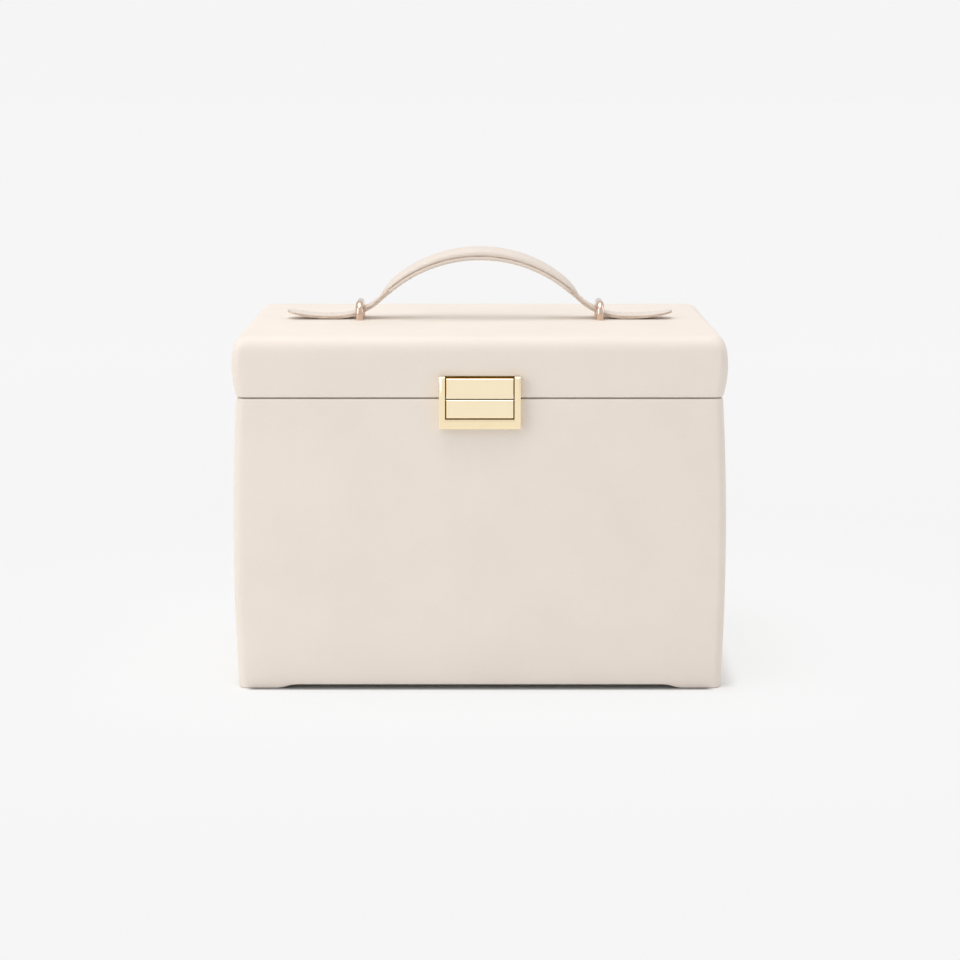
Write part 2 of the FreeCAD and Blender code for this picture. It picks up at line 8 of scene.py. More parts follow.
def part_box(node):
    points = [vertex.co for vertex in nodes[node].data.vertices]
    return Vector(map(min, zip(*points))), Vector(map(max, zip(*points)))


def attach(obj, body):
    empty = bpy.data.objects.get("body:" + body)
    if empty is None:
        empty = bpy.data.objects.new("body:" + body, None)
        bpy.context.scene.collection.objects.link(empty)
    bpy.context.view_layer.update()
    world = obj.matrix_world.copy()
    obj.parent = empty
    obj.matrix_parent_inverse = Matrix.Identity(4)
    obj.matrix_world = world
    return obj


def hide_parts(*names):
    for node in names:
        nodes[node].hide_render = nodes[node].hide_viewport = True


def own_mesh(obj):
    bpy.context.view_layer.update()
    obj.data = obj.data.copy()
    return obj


# A jewellery box in tiers, covered in cream leather: its leather, velvet, stitching and metal.
# Lengths are in millimetres until a piece is made.

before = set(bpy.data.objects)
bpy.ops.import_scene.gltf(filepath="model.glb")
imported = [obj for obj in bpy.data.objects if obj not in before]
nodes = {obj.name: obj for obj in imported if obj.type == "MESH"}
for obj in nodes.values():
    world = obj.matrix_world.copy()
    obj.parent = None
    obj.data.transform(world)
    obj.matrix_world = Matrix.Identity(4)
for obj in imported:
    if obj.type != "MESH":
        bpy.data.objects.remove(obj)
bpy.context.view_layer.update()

# Places on the box
front = -89.85
back = 90.15
middle_y = (front + back) / 2
half_base = 128.0
half_full = 129.3
half_seam = 127.0
half_boards = 123.5
half_inside = 117.5
case_front = -79.85
base_z = 1.8
full_z = 105.0
seam = 155.0
lid_bottom = 155.6
lid_top = 187.0
side_crown = 2.3
upright_radius = 5.0
rim_radius = 0.9
hair = 0.05                 # keeps two surfaces from lying in one plane


# Shader maths
class Value:
    """An output of a shader node. Plain arithmetic on it adds Math nodes."""

    def __init__(self, finish, socket):
        self.finish = finish
        self.socket = socket

    def maths(self, operation, *inputs):
        return self.finish.node("Math", dict(enumerate(inputs)), operation=operation)

    def __add__(self, other):
        return self.maths("ADD", self, other)

    def __mul__(self, other):
        return self.maths("MULTIPLY", self, other)

    def __sub__(self, other):
        return self.maths("SUBTRACT", self, other)

    def __rsub__(self, other):
        return self.maths("SUBTRACT", other, self)

    def __truediv__(self, other):
        return self.maths("DIVIDE", self, other)

    def __pow__(self, other):
        return self.maths("POWER", self, other)

    __radd__ = __add__
    __rmul__ = __mul__

    def sine(self):
        return self.maths("SINE", self)

    def absolute(self):
        return self.maths("ABSOLUTE", self)

    def at_least(self, least):
        return self.maths("MAXIMUM", self, least)

    def between(self, low, high):
        """0 where this is below low, 1 above high, and smooth between them."""
        inputs = {"Value": self, "From Min": low, "From Max": high}
        return self.finish.node("MapRange", inputs, interpolation_type="SMOOTHSTEP")


class Nodes:
    """The nodes of one material or of the world."""

    def __init__(self, owner):
        owner.use_nodes = True
        self.owner = owner
        self.tree = owner.node_tree

    def feed(self, socket, value):
        if isinstance(value, Value):
            self.tree.links.new(value.socket, socket)
        else:
            socket.default_value = value

    def node(self, kind, inputs=None, output=0, stops=(), **settings):
        """One node: its settings first, then the values or links of its sockets."""
        made = self.tree.nodes.new("ShaderNode" + kind)
        for name, setting in settings.items():
            setattr(made, name, setting)
        for i, (place, colour) in enumerate(stops):
            ramp = made.color_ramp.elements
            stop = ramp[i] if i < 2 else ramp.new(place)
            stop.position = place
            stop.color = colour
        for name, value in (inputs or {}).items():
            self.feed(made.inputs[name], value)
        return Value(self, made.outputs[output])

    def mix(self, amount, first, second):
        """A colour between two."""
        return self.node("Mix", {0: amount, 6: first, 7: second}, output=2, data_type="RGBA")

    def stretch(self, place, *factors):
        """A place scaled along each axis."""
        return self.node("VectorMath", {0: place, 1: factors}, operation="MULTIPLY")

    def axes(self, place):
        """The three coordinates of a place."""
        parts = self.node("SeparateXYZ", {0: place}).socket.node
        return [Value(self, output) for output in parts.outputs]

    def rays(self):
        """1 for rays from the camera, and 1 for rays from a reflection."""
        path = self.node("LightPath").socket.node
        return [Value(self, path.outputs[name]) for name in ("Is Camera Ray", "Is Glossy Ray")]

    def noise(self, place, scale, detail=2.0, roughness=0.5):
        inputs = {"Vector": place, "Scale": scale, "Detail": detail, "Roughness": roughness}
        return self.node("TexNoise", inputs)


class Finish(Nodes):
    """A material with one Principled shader."""

    def __init__(self, name, **constants):
        super().__init__(bpy.data.materials.new(name))
        self.shader = self.tree.nodes["Principled BSDF"]
        self.place = self.node("TexCoord", output="Object")
        self.height = None
        for socket, value in constants.items():
            self.set(socket.replace("_", " ").title().replace("Ior", "IOR"), value)

    def set(self, socket, value):
        self.feed(self.shader.inputs[socket], value)

    def raise_by(self, height, depth):
        """Adds relief: a height of 1 stands that many millimetres proud."""
        inputs = {"Height": height, "Distance": depth * 0.001, "Strength": 1.0}
        if self.height:
            inputs["Normal"] = self.height
        self.height = self.node("Bump", inputs)
        self.set("Normal", self.height)


def tone(code):
    """A colour written as in print, for the shader."""
    shares = [int(code[i:i + 2], 16) / 255 for i in (0, 2, 4)]
    return tuple(c / 12.92 if c <= 0.04045 else ((c + 0.055) / 1.055) ** 2.4 for c in shares) + (1.0,)


# Finishes
def grained_leather(name, light, dark, roughness=0.54, grain=0.014):
    """Smooth calf with a very fine pebble, hardly clouded."""
    finish = Finish(name, specular_ior_level=0.32)
    place = finish.place
    clouds = finish.noise(place, 22, 4, 0.55)
    warp = finish.stretch(finish.noise(place, 500, 2), 0.0007, 0.0007, 0.0007)
    wavy = finish.node("VectorMath", {0: place, 1: warp}, operation="ADD")
    cells = finish.node("TexVoronoi", {"Vector": wavy, "Scale": 1150.0}, feature="DISTANCE_TO_EDGE")
    pebble = cells.between(0.0, 0.28)
    pores = finish.noise(place, 2600, 2)
    shade = (1 - pebble) * 0.16 + clouds.between(0.3, 0.75) * 0.28
    finish.set("Base Color", finish.mix(shade, light, dark))
    finish.set("Roughness", roughness + 0.1 * (clouds - 0.5) - 0.05 * pebble)
    finish.raise_by(finish.noise(place, 34, 3, 0.5), 0.08)
    finish.raise_by(pebble * 0.8 + pores * 0.3, grain)
    return finish.owner


def velvet(name, light, dark):
    """Short pile that lies one way in places."""
    finish = Finish(name, sheen_weight=0.55, sheen_roughness=0.35, specular_ior_level=0.15)
    finish.shader.inputs["Sheen Tint"].default_value = light
    place = finish.place
    nap = finish.noise(place, 60, 3, 0.6)
    pile = finish.noise(place, 3400, 2, 0.7)
    finish.set("Base Color", finish.mix(nap.between(0.3, 0.75) * 0.3 + pile * 0.35, light, dark))
    finish.set("Roughness", 0.86 + 0.1 * (pile - 0.5))
    finish.raise_by(nap, 0.05)
    finish.raise_by(pile, 0.05)
    return finish.owner


def lining_cloth(name, light, dark):
    """Plain-woven cloth glued over board."""
    finish = Finish(name, specular_ior_level=0.25, sheen_weight=0.15)
    place = finish.place
    x, y, z = [(along * 11000.0).sine() for along in finish.axes(place)]
    weave = x * y + y * z + z * x
    slubs = finish.noise(finish.stretch(place, 700.0, 90.0, 700.0), 1.0, 2)
    finish.set("Base Color", finish.mix(0.25 * weave + slubs * 0.6, light, dark))
    finish.set("Roughness", 0.8 + 0.1 * (slubs - 0.5))
    finish.raise_by(weave, 0.03)
    finish.raise_by(slubs, 0.03)
    return finish.owner


def plated(name, colour, tarnish, roughness=0.14, brushed=0.0):
    """Polished plate with faint handling marks, brushed along its length where asked."""
    finish = Finish(name, metallic=1.0)
    place = finish.place
    smears = finish.noise(place, 140, 3, 0.6)
    marks = finish.noise(finish.stretch(place, 60.0, 2500.0, 2500.0), 1.0, 3, 0.7)
    finish.set("Base Color", finish.mix(smears.between(0.45, 0.8) * 0.4, colour, tarnish))
    finish.set("Roughness", roughness + 0.06 * (smears - 0.5) + brushed * (marks - 0.5))
    finish.raise_by(finish.noise(place, 260, 2), 0.004)
    finish.raise_by(marks, 0.0006 + 0.01 * brushed)
    return finish.owner


def silvered_glass(name):
    finish = Finish(name, metallic=1.0)
    haze = finish.noise(finish.place, 30, 4, 0.6)
    finish.set("Base Color", finish.mix(haze, tone("F2F5F4"), tone("E9EEEC")))
    finish.set("Roughness", 0.015 + haze.between(0.5, 0.9) * 0.03)
    return finish.owner


def painted_edge(name, light, dark, gloss=0.4):
    """Cut edges, painted and burnished along their length."""
    finish = Finish(name, specular_ior_level=gloss)
    grain = finish.noise(finish.stretch(finish.place, 160.0, 900.0, 900.0), 1.0, 3, 0.6)
    finish.set("Base Color", finish.mix(grain.between(0.3, 0.75), light, dark))
    finish.set("Roughness", 0.38 + 0.16 * (grain - 0.5))
    finish.raise_by(grain, 0.06)
    return finish.owner


def thread(name, light, dark):
    """Waxed twisted thread."""
    finish = Finish(name, specular_ior_level=0.4, sheen_weight=0.2)
    x, y, z = finish.axes(finish.place)
    twist = ((x + y + z * 1.3) * 9000.0).sine()
    finish.set("Base Color", finish.mix(0.5 + 0.5 * twist, light, dark))
    finish.set("Roughness", 0.55 + 0.08 * twist)
    finish.raise_by(twist, 0.04)
    return finish.owner


cream = grained_leather("cream_leather", tone("EEE4DA"), tone("E5D8CC"))
strap_leather = grained_leather("strap_leather", tone("E4D9CF"), tone("D5C8BC"), 0.48, 0.012)
cut_edge = painted_edge("painted_leather_edge", tone("DCCBBC"), tone("C2AE9D"))
pile = velvet("champagne_velvet", tone("E3D6C8"), tone("CDBDAC"))
cloth = lining_cloth("cream_lining_cloth", tone("E6DACB"), tone("D3C5B4"))
gold = plated("pale_gold_plate", (1.0, 0.84, 0.56, 1), (0.96, 0.78, 0.47, 1), 0.12)
satin_gold = plated("brushed_gold_plate", (1.0, 0.865, 0.61, 1), (0.99, 0.83, 0.56, 1), 0.12, 0.015)
rose_gold = plated("rose_gold_plate", (0.68, 0.52, 0.42, 1), (0.5, 0.36, 0.28, 1), 0.06)
steel = plated("bright_steel", (0.6, 0.6, 0.61, 1), (0.45, 0.45, 0.46, 1), 0.26, 0.05)
looking_glass = silvered_glass("silvered_glass")
cream_thread = thread("cream_thread", tone("F1E8DD"), tone("D8C9B8"))
# A dark brown sheet finish that darkens the clasp's gaps: painted shade
dark_lacquer = painted_edge("dark_lacquer", tone("76540E"), tone("5A3E08"), 0.04)


# Making pieces
def piece(name, points, faces, finishes, body, slot, replaces=(), which=None):
    """A piece from points in millimetres. It rides on a body and stands for the nodes named."""
    mesh = bpy.data.meshes.new(name)
    mesh.from_pydata([Vector(point) * 0.001 for point in points], [], faces)
    for finish in finishes if isinstance(finishes, (list, tuple)) else [finishes]:
        mesh.materials.append(finish)
    if which:
        mesh.polygons.foreach_set("material_index", [which(face) for face in faces])
    shell = bmesh.new()
    shell.from_mesh(mesh)
    bmesh.ops.recalc_face_normals(shell, faces=shell.faces)
    shell.to_mesh(mesh)
    shell.free()
    mesh.shade_smooth()
    made = bpy.data.objects.new(name, mesh)
    bpy.context.scene.collection.objects.link(made)
    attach(made, body)
    if replaces:
        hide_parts(*([replaces] if isinstance(replaces, str) else replaces))
    return made


def even_normals(made):
    """Keeps the shading of broad faces flat beside small rounded edges."""
    modifier = made.modifiers.new("even_normals", "WEIGHTED_NORMAL")
    modifier.weight = 80


def mm_box(node):
    """The two far corners of a node's box, in millimetres."""
    low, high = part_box(node)
    return low * 1000, high * 1000


def smooth(t):
    """0 below 0, 1 above 1, and smooth between them."""
    t = min(max(t, 0.0), 1.0)
    return t * t * (3 - 2 * t)


def turns(count, low=0.0, high=90.0):
    """Cosine and sine of evenly spaced angles."""
    angles = [math.radians(low + (high - low) * i / count) for i in range(count + 1)]
    return [(math.cos(angle), math.sin(angle)) for angle in angles]


corner_cells = 4            # grid cells in each half of a rounded corner


def ring(x, y, radii, across, along):
    """Points round a rectangle with rounded corners. A grid of that many cells fits inside it."""
    signs = ((0, 0), (1, 0), (1, 1), (0, 1))
    def corner(i, step):
        i %= 4
        radius = radii[i]
        centre_x = x[signs[i][0]] + (radius, -radius)[signs[i][0]]
        centre_y = y[signs[i][1]] + (radius, -radius)[signs[i][1]]
        angle = math.pi * (1 + i / 2 + step / corner_cells / 4)
        return Vector((centre_x + radius * math.cos(angle), centre_y + radius * math.sin(angle)))
    points = []
    for i, cells in enumerate((across, along, across, along)):
        points += [corner(i, step) for step in range(corner_cells, 2 * corner_cells + 1)]
        start, end = points[-1], corner(i + 1, 0)
        straight = cells - 2 * corner_cells
        points += [start.lerp(end, k / straight) for k in range(1, straight)]
        points += [corner(i + 1, step) for step in range(corner_cells)]
    return points


def fill(points, faces, start, across, along, rise):
    """Fills the ring that begins at that point with a grid, raised towards its middle."""
    def rim(i, j):
        if j == 0:
            return start + i
        if i == across:
            return start + across + j
        if j == along:
            return start + 2 * across + along - i
        return start + 2 * (across + along) - j
    places = {}
    for j in range(along + 1):
        for i in range(across + 1):
            if i in (0, across) or j in (0, along):
                places[i, j] = rim(i, j)
                continue
            u, v = i / across, j / along
            sides = points[rim(i, 0)] * (1 - v) + points[rim(i, along)] * v
            sides += points[rim(0, j)] * (1 - u) + points[rim(across, j)] * u
            near = points[rim(0, 0)].lerp(points[rim(across, 0)], u)
            far = points[rim(0, along)].lerp(points[rim(across, along)], u)
            share = (1 - (2 * u - 1) ** 4) * (1 - (2 * v - 1) ** 4)
            places[i, j] = len(points)
            points.append(sides - near.lerp(far, v) + rise * share)
    for j in range(along):
        for i in range(across):
            faces.append((places[i, j], places[i + 1, j], places[i + 1, j + 1], places[i, j + 1]))


def closed_form(rings, across, along, rise_first, rise_last):
    """Points and faces of a closed form through rings, with both ends filled."""
    count = len(rings[0])
    points = [Vector(point) for each in rings for point in each]
    faces = []
    for r in range(len(rings) - 1):
        for i in range(count):
            a, b = r * count, (r + 1) * count
            j = (i + 1) % count
            faces.append((a + i, a + j, b + j, b + i))
    fill(points, faces, 0, across, along, Vector(rise_first))
    fill(points, faces, (len(rings) - 1) * count, across, along, Vector(rise_last))
    return points, faces


def pad(low, high, axis=2, corner=1.0, lower=0.4, upper=0.4, crown=0.0, sag=0.0, cell=5.0, shape=None):
    """A pad lying across an axis, its far face crowned, its edges rounded above and below."""
    a, b = [i for i in range(3) if i != axis]
    counts = [max(2 * corner_cells + 2, round((high[i] - low[i]) / cell)) for i in (a, b)]
    def placed(inset, t):
        x = (low[a] + inset, high[a] - inset)
        y = (low[b] + inset, high[b] - inset)
        points = []
        for u, v in ring(x, y, [max(corner - inset, 0.05)] * 4, *counts):
            point = Vector((0, 0, 0))
            point[a], point[b], point[axis] = u, v, t
            points.append(point)
        return points
    rings = [placed(lower * (1 - sine), low[axis] + lower * (1 - cosine)) for cosine, sine in turns(4)]
    rings += [placed(upper * (1 - cosine), high[axis] - upper * (1 - sine)) for cosine, sine in turns(4)]
    along = Vector((0, 0, 0))
    along[axis] = 1.0
    points, faces = closed_form(rings, *counts, along * -sag, along * crown)
    return ([shape(point) for point in points] if shape else points), faces


def loft(sections, closed_ends=True):
    """Points and faces of a tube through closed sections, its two ends closed by one face each."""
    count = len(sections[0])
    points = [Vector(point) for section in sections for point in section]
    faces = []
    for s in range(len(sections) - 1):
        for i in range(count):
            j = (i + 1) % count
            faces.append((s * count + i, s * count + j, (s + 1) * count + j, (s + 1) * count + i))
    if closed_ends:
        faces.append(tuple(range(count)))
        faces.append(tuple(range(len(points) - count, len(points))))
    return points, faces


def stitches(path, up, length=2.6, pitch=3.3, thick=0.42, slant=0.12):
    """Points and faces of a row of stitches along a path, each half sunk in the leather."""
    points, faces = [], []
    reach = [0.0]
    for a, b in zip(path, path[1:]):
        reach.append(reach[-1] + (b - a).length)
    def at(distance):
        i = next((k for k in range(1, len(reach)) if reach[k] >= distance), len(reach) - 1)
        span = reach[i] - reach[i - 1]
        return path[i - 1].lerp(path[i], (distance - reach[i - 1]) / span), (path[i] - path[i - 1]).normalized()
    for k in range(int((reach[-1] - length) / pitch) + 1):
        centre, along = at(k * pitch + length / 2)
        rise = up(centre) if callable(up) else Vector(up)
        side = along.cross(rise).normalized()
        along = (along + side * slant).normalized()
        side = along.cross(rise).normalized()
        start = len(points)
        for share, width in ((-0.5, 0.25), (-0.36, 0.85), (0.0, 1.0), (0.36, 0.85), (0.5, 0.25)):
            for cosine, sine in turns(6, 0, 360)[:6]:
                sunk = rise * (thick * (width * sine * 0.8 + (width - 1) * 0.7))
                points.append(centre + along * share * length + side * cosine * width * thick + sunk)
        for s in range(4):
            for i in range(6):
                a, b = start + s * 6, start + s * 6 + 6
                faces.append((a + i, a + (i + 1) % 6, b + (i + 1) % 6, b + i))
        faces.append(tuple(range(start, start + 6)))
        faces.append(tuple(range(start + 24, start + 30)))
    return points, faces


def together(*forms):
    """Several forms as one."""
    points, faces = [], []
    for more_points, more_faces in forms:
        faces += [tuple(i + len(points) for i in face) for face in more_faces]
        points += more_points
    return points, faces


def unevenness(point, amount):
    """The small give of a hand-laid cover."""
    p = Vector(point) * 0.021
    return amount * (noise.noise(p) + 0.5 * noise.noise(p * 2.3 + Vector((7, 3, 5))))


# Covers
def case_half(z):
    """Half the width of the case's padded sides: one curve through their foot, fullest height and seam."""
    below = (half_full - half_base) / (full_z - base_z)
    above = (half_seam - half_full) / (seam - full_z)
    bend = (above - below) / (seam - base_z)
    return half_base + (z - base_z) * (below + bend * (z - full_z))


def lid_half(z):
    """Half the width of the lid's padded sides, fullest at half its height."""
    middle = (lid_bottom + lid_top) / 2
    return half_full - side_crown * ((z - middle) / (lid_top - middle)) ** 2


def make_lid_leather():
    across, along = 64, 46
    top_reach, top_fall = 7.0, 8.0      # of the rounded top edge, inwards and down
    def level(half, inset, inset_back, radius, z):
        depth = (front + inset, back - inset_back)
        points = ring((-half, half), depth, [max(radius, 0.05)] * 4, across, along)
        return [(x, y, z) for x, y in points]
    boards = half_boards + hair
    inside = (
        (boards, 3.45, 0.1, lid_top - 3.45), (boards, 3.45, 0.1, 170.0), (boards, 3.45, 0.1, 156.5),
        (118.5, 8.45, 0.4, 156.5), (118.45, 8.4, 0.4, 156.1), (118.7, 8.65, 0.4, 155.7),
        (119.4, 7.3, 0.8, lid_bottom), (122.5, 4.4, 3.6, lid_bottom),
    )
    rings = [level(half, inset, inset, radius, z) for half, inset, radius, z in inside]
    outside = len(rings)
    for cosine, sine in turns(6):
        inset = rim_radius * (1 - sine)
        z = lid_bottom + rim_radius * (1 - cosine)
        rings.append(level(lid_half(z) - inset, inset, inset, upright_radius - inset, z))
    low, high = lid_bottom + rim_radius, lid_top - top_fall
    for step in range(1, 8):
        z = low + (high - low) * step / 8
        rings.append(level(lid_half(z), 0, 0, upright_radius, z))
    for cosine, sine in turns(12):
        inset = top_reach * (1 - cosine)
        z = lid_top - top_fall * (1 - sine)
        edge = level(lid_half(z) - inset * 0.34, inset, inset * 1.6, upright_radius + inset * 0.1, z)
        draw_in = 0.029 * (1 - cosine)
        rings.append([(x * (1 - draw_in * smooth((y - front) / 180)), y, z) for x, y, z in edge])
    for r, each in enumerate(rings[outside:]):
        moved = []
        for x, y, z in each:
            give = unevenness((x, y, z), 0.12) * smooth((r - 1) / 4)
            outward = Vector((x / 129, (y - middle_y) / 90, 0))
            moved.append(Vector((x, y, z)) + outward * give)
        rings[outside + r] = moved
    points, faces = closed_form(rings, across, along, (0, 0, 0), (0, 0, 0.45))
    made = piece("lid_leather", points, faces, cream, "lid", "leatherette", "lid_cover")


def make_case_leather():
    across, along = 64, 44
    low, high = 2.7, seam - rim_radius      # where the sides begin to round inwards
    def run(half, inset, radius, z):
        depth = (case_front, back - inset)
        points = ring((-half, half), depth, [0.05, 0.05, radius, radius], across, along)
        return [Vector((x, y, z)) for x, y in points[across:] + points[:1]]
    boards, inside = half_boards + hair, half_inside + hair
    profile = [run(boards, 3.45, 0.1, z) for z in (2.0, 60.0, 110.0, 154.3)]
    profile += [run(inside, 9.45, 0.1, 154.3), run(inside, 9.45, 0.1, 154.8), run(117.9, 9.1, 0.3, seam)]
    profile += [run(122.0, 5.0, 3.5, seam)]
    for cosine, sine in turns(6):
        inset = rim_radius * (1 - sine)
        profile.append(run(case_half(seam) - inset, inset, upright_radius - inset, high + rim_radius * cosine))
    outside = len(profile) - 1
    for step in range(1, 24):
        z = high - (high - low) * step / 24
        profile.append(run(case_half(z), 0, upright_radius, z))
    for cosine, sine in turns(5):
        inset = rim_radius * (1 - cosine)
        profile.append(run(case_half(low) - inset, inset, upright_radius - inset, low - rim_radius * sine))
    profile.append(run(124.5, 3.15, 1.0, 1.85))
    for each in profile[outside:]:
        for point in each:
            give = unevenness(point, 0.14) * smooth((seam - 6 - point.z) / 10) * smooth((point.z - 5) / 8)
            point += Vector((point.x / 129, max(point.y - 70, 0) / 20, 0)) * give
    sections = [[each[k] for each in profile] for k in range(len(profile[0]))]
    points, faces = loft(sections)
    made = piece("case_leather", points, faces, cream, "case", "leatherette", "outer_cover")
    for side, name in ((-1, "left"), (1, "right")):
        x = sorted((side * inside, side * (half_boards + 0.2)))
        form = pad((x[0], case_front, 2.2), (x[1], -79.1, seam - 0.3), 1, 0.4, 0.3, 0.2, cell=6)
        even_normals(piece("front_edge_leather_" + name, *form, cream, "case", "leatherette"))


def toe_lift(x):
    """How far the drop front's lower edge stands up between its two toes."""
    rise, start, slope = 1.87, 106.6, 8.6
    return rise * smooth((start - abs(x)) / slope)


def make_front_leather():
    across, along = 84, 12
    inner = -80.95
    hollow, waves = 0.55, 0.22          # how far the face dips and how uneven it is, away from its edges
    def level(inset, z):
        half = case_half(z)
        radii = [max(upright_radius - inset, 0.3)] * 2 + [max(1.2 - inset, 0.05)] * 2
        x = (inset - half, half - inset)
        points = []
        for px, py in ring(x, (front + inset, inner - inset * 0.5), radii, across, along):
            facing = smooth((-81.5 - py) / 7)
            fade = smooth((z - 3) / 30) * smooth((139 - z) / 30) * smooth((126 - abs(px)) / 60)
            give = facing * fade * (hollow + unevenness((px, 0, z), waves))
            lift = toe_lift(px) * smooth((14 - z) / 12)
            points.append(Vector((px, py - give, z + lift)))
        return points
    foot, foot_radius = 0.15, 0.5
    rings = [level(foot_radius * (1 - sine), foot + foot_radius * (1 - cosine)) for cosine, sine in turns(5)]
    low, high = foot + foot_radius, seam - rim_radius
    rings += [level(0, low + (high - low) * step / 40) for step in range(1, 40)]
    rings += [level(rim_radius * (1 - cosine), high + rim_radius * sine) for cosine, sine in turns(6)]
    points, faces = closed_form(rings, across, along, (0, 0, 0), (0, 0, 0))
    made = piece("front_leather", points, faces, cream, "flap", "leatherette", "flap_cover")


def quilted_edge(point, low, high, a, b, inset, depth, axis, toward):
    """Presses a sewn channel into a face, that far inside its edge."""
    reach = min(point[a] - low[a], high[a] - point[a], point[b] - low[b], high[b] - point[b])
    on_face = 1 if abs(point[axis] - toward) < 1.6 else 0
    point[axis] += on_face * depth * math.exp(-((reach - inset) / 0.9) ** 2)
    return point


def make_front_lining():
    low, high = (-113.0, -81.2, 16.0), (113.0, -80.4, 141.0)
    def shape(point):
        return quilted_edge(point, low, high, 0, 2, 5.0, -0.3, 1, high[1])
    form = pad(low, high, 1, 3.0, 0.2, 0.4, 0.15, 0.0, 2.6, shape)
    made = piece("front_lining_velvet", *form, pile, "flap", "velvet", "flap_lining")


# Handle
handle_radius = 76.6
shoulder_radius = 36.0
strap_flat = 188.65
arc_z = 144.8
shoulder_z = strap_flat + shoulder_radius
shoulder_x = math.sqrt((handle_radius + shoulder_radius) ** 2 - (shoulder_z - arc_z) ** 2)
turn = math.asin(shoulder_x / (handle_radius + shoulder_radius))
strap_end = 106.0
curl_start = 84.0


def on_arc(angle, proud=0.0, across=0.0):
    """A place on the handle's arc, and the way out of it."""
    outward = Vector((math.sin(angle), 0, math.cos(angle)))
    return Vector((0, middle_y + across, arc_z)) + outward * (handle_radius + proud), outward


def strap_line(x):
    """The strap's middle line: its place, and the way its face looks."""
    side = 1 if x > 0 else -1
    reach = abs(x)
    if reach < handle_radius * math.sin(turn):
        return on_arc(math.asin(x / handle_radius))
    if reach < shoulder_x:
        angle = math.asin((shoulder_x - reach) / shoulder_radius)
        place = Vector((x, middle_y, shoulder_z - shoulder_radius * math.cos(angle)))
        return place, Vector((side * math.sin(angle), 0, math.cos(angle)))
    curl = 3.1 if side < 0 else 2.8
    share = max(reach - curl_start, 0) / (strap_end - curl_start)
    slope = 2 * curl * share / (strap_end - curl_start)
    place = Vector((x, middle_y, strap_flat + curl * share ** 2))
    return place, Vector((-side * slope, 0, 1)).normalized()


def strap_face(point):
    return strap_line(point.x)[1]


def strap_stations(step=1.6):
    """Places along the strap, evenly spaced and closer at its round ends."""
    places = []
    x = -strap_end
    while x < strap_end:
        places.append(x)
        _, face = strap_line(x)
        near_end = min(1.0, 0.25 + (strap_end - abs(x)) / 12)
        x += step * near_end * max(face.z, 0.2)
    return places + [strap_end]


def strap_half(x):
    """Half the strap's width, with round ends."""
    half, end_radius = 8.0, 7.0
    reach = strap_end - abs(x)
    if reach > end_radius:
        return half
    return half - end_radius + math.sqrt(max(end_radius ** 2 - (end_radius - reach) ** 2, 0.01))


def strap_thick(x):
    """Half the strap's thickness. It is skived thinner towards its ends."""
    return 0.9 + 0.1 * smooth((70 - abs(x)) / 12) - 0.28 * smooth((abs(x) - 80) / 24)


def mirrored(half):
    """A closed outline from its right half, whose first and last points lie on the middle line."""
    return [*half, *((-v, w) for v, w in reversed(half[1:-1]))]


def painted_between(first, last, count):
    """Picks the faces of a loft between two points of a mirrored outline, on both sides."""
    right = set(range(first, last + 1))
    left = {count - spot for spot in right}
    def which(face):
        spots = {i % count for i in face}
        return int(len(face) == 4 and (spots <= right or spots <= left))
    return which


def sink(made):
    """Gives a handle piece a mesh of its own."""
    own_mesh(made)


def make_strap():
    # From the middle of the underside to the middle of the face, in half widths and half thicknesses
    half_section = [
        (0, -1.2), (0.35, -1.2), (0.7, -1.15), (0.97, -0.95), (1.0, -0.6), (0.985, -0.12), (0.965, 0.0),
        (0.985, 0.12), (1.0, 0.6), (0.97, 1.0), (0.86, 1.16), (0.78, 1.02), (0.7, 1.18), (0.4, 1.3), (0, 1.34),
    ]
    outline = mirrored(half_section)
    def section(x):
        centre, face = strap_line(x)
        half, thick = strap_half(x), strap_thick(x)
        return [centre + Vector((0, share * half, 0)) + face * (height * thick) for share, height in outline]
    points, faces = loft([section(x) for x in strap_stations()])
    edge = painted_between(3, 9, len(outline))
    finishes = [strap_leather, cut_edge]
    sink(piece("strap_leather", points, faces, finishes, "handle", "leatherette", "handle_strap", edge))
    rows = []
    for side in (-1, 1):
        for x0, x1 in ((-100, -52.5), (52.5, 100)):
            path = []
            for k in range(61):
                centre, face = strap_line(x0 + (x1 - x0) * k / 60)
                path.append(centre + face * (1.06 * strap_thick(centre.x)) + Vector((0, side * 6.25, 0)))
            rows.append(stitches(path, strap_face))
    sink(piece("strap_stitching", *together(*rows), cream_thread, "handle", "leatherette"))


